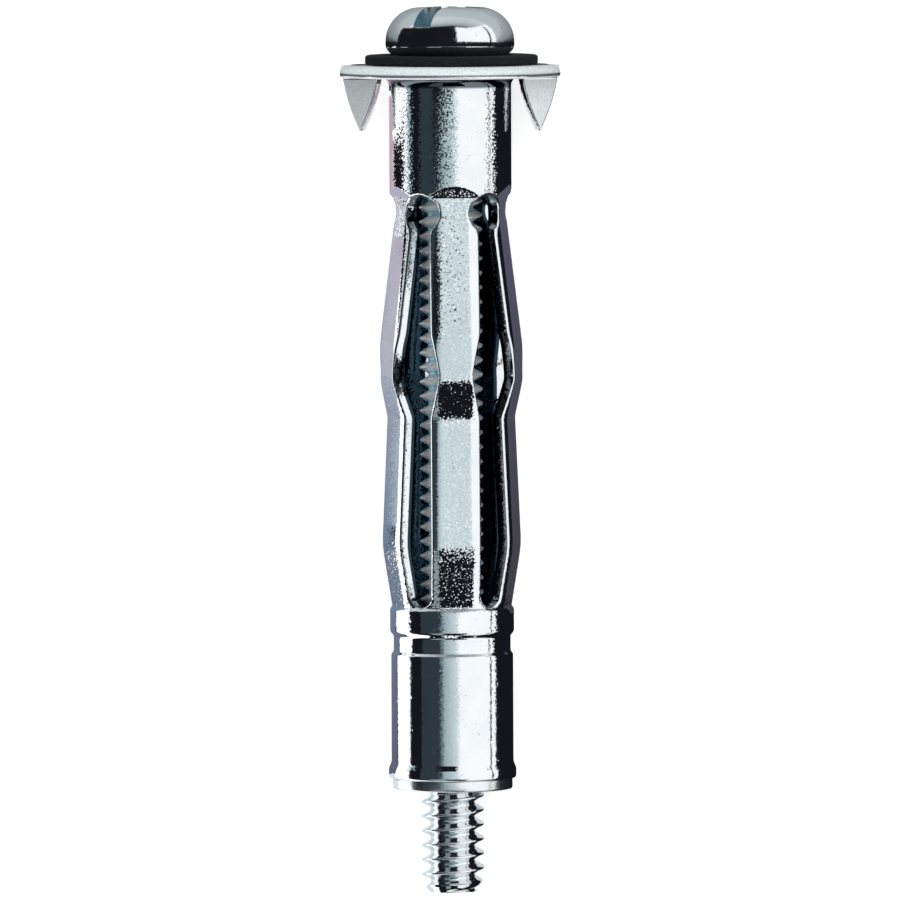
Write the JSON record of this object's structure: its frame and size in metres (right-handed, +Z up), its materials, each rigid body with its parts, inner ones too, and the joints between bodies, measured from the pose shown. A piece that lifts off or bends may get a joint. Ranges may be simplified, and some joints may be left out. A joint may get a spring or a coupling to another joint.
{
  "type": "hollow wall anchor",
  "caption": "Hollow wall anchor: slotted, pronged sheet-metal sleeve with a flange, nut crimped in its far end, fibre washer and pan-head machine screw.",
  "frame": {"origin": "bottom centre of the bounding box of the anchor lying at rest on its flange rim and its end lip", "axes": "+Y along the anchor towards the screw's head (the anchor's own axis rises 3.8 degrees that way), +Z up, +X to the right seen from above with the head away from the viewer; wall_side of the flange faces -Y"},
  "size_m": [0.012, 0.0484, 0.0121],
  "materials": {
    "zinc_plated_sheet": "bright zinc plate with faint blue and pink tints and fine speckle",
    "zinc_plated_nut": "bright zinc plate",
    "black_fibre": "matt black vulcanised fibre",
    "zinc_plated_screw": "bright zinc plate, smoother than the sleeve"
  },
  "bodies": {
    "anchor": {"expansion_sleeve": "zinc_plated_sheet", "threaded_nut": "zinc_plated_nut"},
    "washer": {"fibre_washer": "black_fibre"},
    "screw": {"machine_screw": "zinc_plated_screw"}
  },
  "joints": [
    {"name": "screw_travel", "type": "slide", "parent": "anchor", "child": "washer", "axis": [0, 0.9978, 0.0666], "range_m": [0, 0.0119]},
    {"name": "screw_turn", "type": "hinge", "parent": "washer", "child": "screw", "pos_m": [0, 0.02154, 0.00611], "axis": [0, 0.9978, 0.0666], "range_deg": [0, 5400]}
  ],
  "couplings": [
    {"joint": "screw_turn", "follows": "screw_travel", "rad_per_m": 7915.8}
  ]
}
